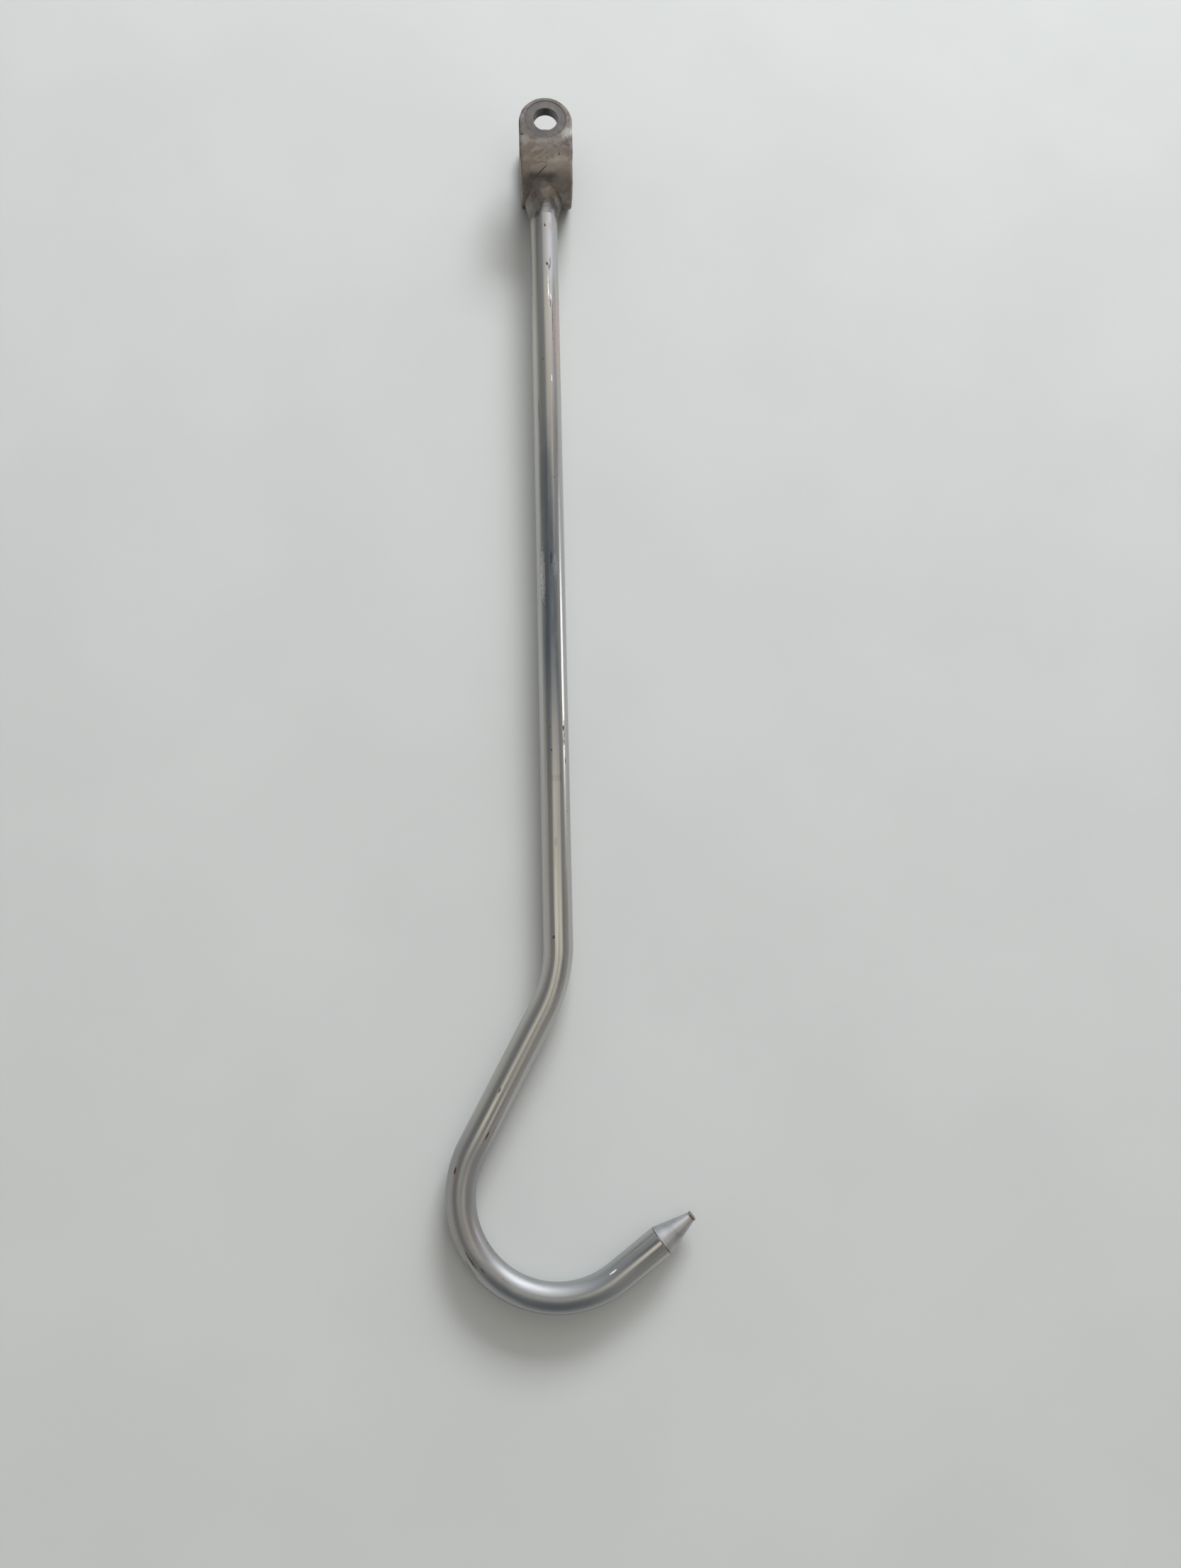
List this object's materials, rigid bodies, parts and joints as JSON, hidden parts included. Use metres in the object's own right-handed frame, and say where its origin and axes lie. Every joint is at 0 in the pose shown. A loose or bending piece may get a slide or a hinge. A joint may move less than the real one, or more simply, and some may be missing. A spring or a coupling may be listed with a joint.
{
  "type": "long boat hook with fork clevis",
  "caption": "Long tube hook: a fork clevis with a cross bore, a straight shank with a slight kink, a wide J bend and a conical point.",
  "frame": {"origin": "centre of the fork's cross bore, midway between its two arms", "axes": "the hook lies flat with its bend plane in XY; +Z along the cross bore, +Y from the hook towards the fork's open end, the hook opens towards +X and +Y"},
  "size_m": [0.1274, 0.6732, 0.032],
  "materials": {
    "fork_steel": "flat bar, heat tinted brown and violet near the weld, worn grey at the eye",
    "weld_steel": "long weld bead, ground nearly flush, with brown heat tint",
    "tube_steel": "satin polished stainless tube with fine lengthwise scratches",
    "plug_steel": "finely turned cone with a rough brown stub"
  },
  "bodies": {
    "root": {"fork_clevis": "fork_steel", "fork_weld": "weld_steel", "hook_tube": "tube_steel", "tip_plug": "plug_steel"}
  },
  "joints": []
}
